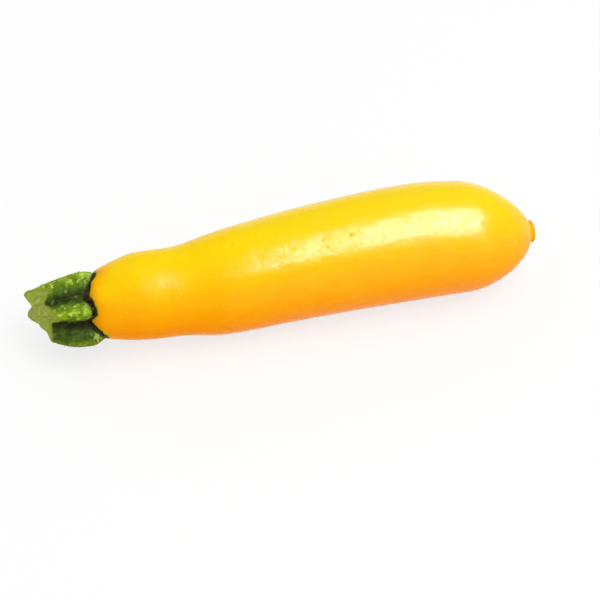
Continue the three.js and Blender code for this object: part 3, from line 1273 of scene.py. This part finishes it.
for piece, slot in (
    (fruit, "fruit_skin"),
    (pores, "fruit_skin"),
    (marks, "fruit_skin"),
    (stem, "stem_rind"),
    (prickles, "stem_rind"),
    (scar, "scar_cork"),
):
    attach(piece, "root")
    print(piece.name, "takes its finish from", slot)

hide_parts("fruit")
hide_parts("stem")
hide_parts("blossom_scar")

# %% [markdown]
# ## The floor
#
# Food is often shown on white paper. White paper under a real lamp comes out grey,
# so the floor also glows for rays that come straight from the camera, or by way of
# a reflection. Close to the fruit a quarter of what the camera sees is still plain
# paper, which takes the soft shadow. Far out it is all glow, so no horizon shows.

# %% The floor
def seen_directly(nodes):
    """1 for what the camera sees straight, in a reflection or through glass."""
    rays = nodes.add("ShaderNodeLightPath").outputs
    seen = nodes.plus(rays["Is Camera Ray"], rays["Is Glossy Ray"], rays["Is Transmission Ray"])
    return nodes.math("MINIMUM", seen, 1.0)


half_floor = 2.0
sheet = bpy.data.meshes.new("floor")
corners = ((-1, -1), (1, -1), (1, 1), (-1, 1))
sheet.from_pydata([(x * half_floor, y * half_floor, 0) for x, y in corners], [], [(0, 1, 2, 3)])
floor = add_object("floor", sheet)
floor_paper = bpy.data.materials.new("floor_paper")
floor.data.materials.append(floor_paper)
nodes = cleared(floor_paper)
paper = nodes.get("ShaderNodeBsdfDiffuse", 0, {"Color": (0.93, 0.93, 0.93, 1)})
glow = nodes.get("ShaderNodeEmission", 0, {"Color": (1, 1, 1, 1), "Strength": 1.0})
place = nodes.get("ShaderNodeTexCoord", "Object")
distance = nodes.vector("LENGTH", place, output="Value")
share = nodes.times(seen_directly(nodes), nodes.ramp(distance, 0.3, 1.2, 0.75, 1.0))
surface = nodes.get("ShaderNodeMixShader", 0, {0: share, 1: paper, 2: glow})
nodes.add("ShaderNodeOutputMaterial", {"Surface": surface})
print("the floor is", 2 * half_floor, "metres wide")

# %% [markdown]
# ## The light all round
#
# A white room lights the fruit from everywhere. Its background shows as full white,
# and it lights the fruit a little less, to leave room for the lamp. In reflections
# the walls are white and the ceiling is dim. That keeps the top of the skin clean
# and deep in colour, and leaves a thin pale rim where the skin turns to the wall.

# %% The room
room_light = 0.82
dim_ceiling = 0.2
world = bpy.data.worlds.new("white_room")
bpy.context.scene.world = world
nodes = cleared(world)
glossy = nodes.add("ShaderNodeLightPath").outputs["Is Glossy Ray"]
_, _, rise = nodes.split(nodes.get("ShaderNodeTexCoord", "Generated"))
room = nodes.ramp(rise, 0.05, 0.35, 1.0, dim_ceiling)
level = nodes.times(
    nodes.ramp(seen_directly(nodes), 0.0, 1.0, room_light, 1.0, smooth=False),
    nodes.ramp(glossy, 0.0, 1.0, 1.0, room, smooth=False),
)
sky = nodes.get("ShaderNodeBackground", 0, {"Color": (1, 1, 1, 1), "Strength": level})
nodes.add("ShaderNodeOutputWorld", {"Surface": sky})

# %% [markdown]
# ## The soft box
#
# One long soft box hangs above and in front, turned along the fruit. It draws the
# pale streak on the skin, so its place follows from where the streak should be:
# light that comes in there has to leave towards the camera. A real streak is far
# brighter than a box that lights colours plainly, so two lamps share the place: one
# lights the fruit, and a strong one shows only in reflections.

# %% Hang the soft box
middle = (solid_box[0] + solid_box[1]) / 2
box_rise = math.radians(68)
box_lean = math.radians(25)
box_roll = math.radians(-55)
box_distance = 1.1
box_length = 2 * box_distance * math.tan(math.radians(20))
box_depth = 2 * box_distance * math.tan(math.radians(22.5))


def direction(sideways, rise):
    """A unit vector from the fruit: sideways towards +X, and a rise above the front."""
    level = math.cos(sideways)
    return Vector((math.sin(sideways), -level * math.cos(rise), level * math.sin(rise)))


def hang_box(name, brightness):
    """An oblong soft box along the fruit. Brightness 1 is as bright as white paper."""
    lamp = bpy.data.lights.new(name, "AREA")
    lamp.shape = "RECTANGLE"
    lamp.size = box_length
    lamp.size_y = box_depth
    lamp.energy = brightness * math.pi * box_length * box_depth
    box = add_object(name, lamp)
    towards = direction(box_lean, box_rise)
    box.location = middle + towards * box_distance
    turned = towards.to_track_quat("Z", "Y") @ Quaternion((0, 0, 1), box_roll)
    box.rotation_euler = turned.to_euler()
    return box


soft_box = hang_box("soft_box", 1.92)
streak_box = hang_box("streak_box", 25.0)
streak_box.visible_diffuse = False
print("the soft box hangs at", soft_box.location)

# %% [markdown]
# ## The camera
#
# A long lens from above, turned a few degrees, so that the stem is nearest at the
# left and the fruit runs away to the right. The last line prints the box of the
# measured model.

# %% Set up the camera and write the sizes
azimuth = math.radians(-14.47)
elevation = math.radians(40)
camera_distance = 0.6383
lens = bpy.data.cameras.new("camera")
lens.lens = 100
lens.sensor_width = 36
camera = add_object("camera", lens)
back = Vector(
    (
        math.sin(azimuth) * math.cos(elevation),
        -math.cos(azimuth) * math.cos(elevation),
        math.sin(elevation),
    )
)
aim = Vector((middle.x + 0.2 * mm, middle.y - 20.6 * mm, 20 * mm))
camera.location = aim + back * camera_distance
camera.rotation_euler = back.to_track_quat("Z", "Y").to_euler()
bpy.context.scene.camera = camera
bpy.context.scene.view_settings.view_transform = "Standard"

print("solids ", [round(part / mm, 2) for corner in solid_box for part in corner])
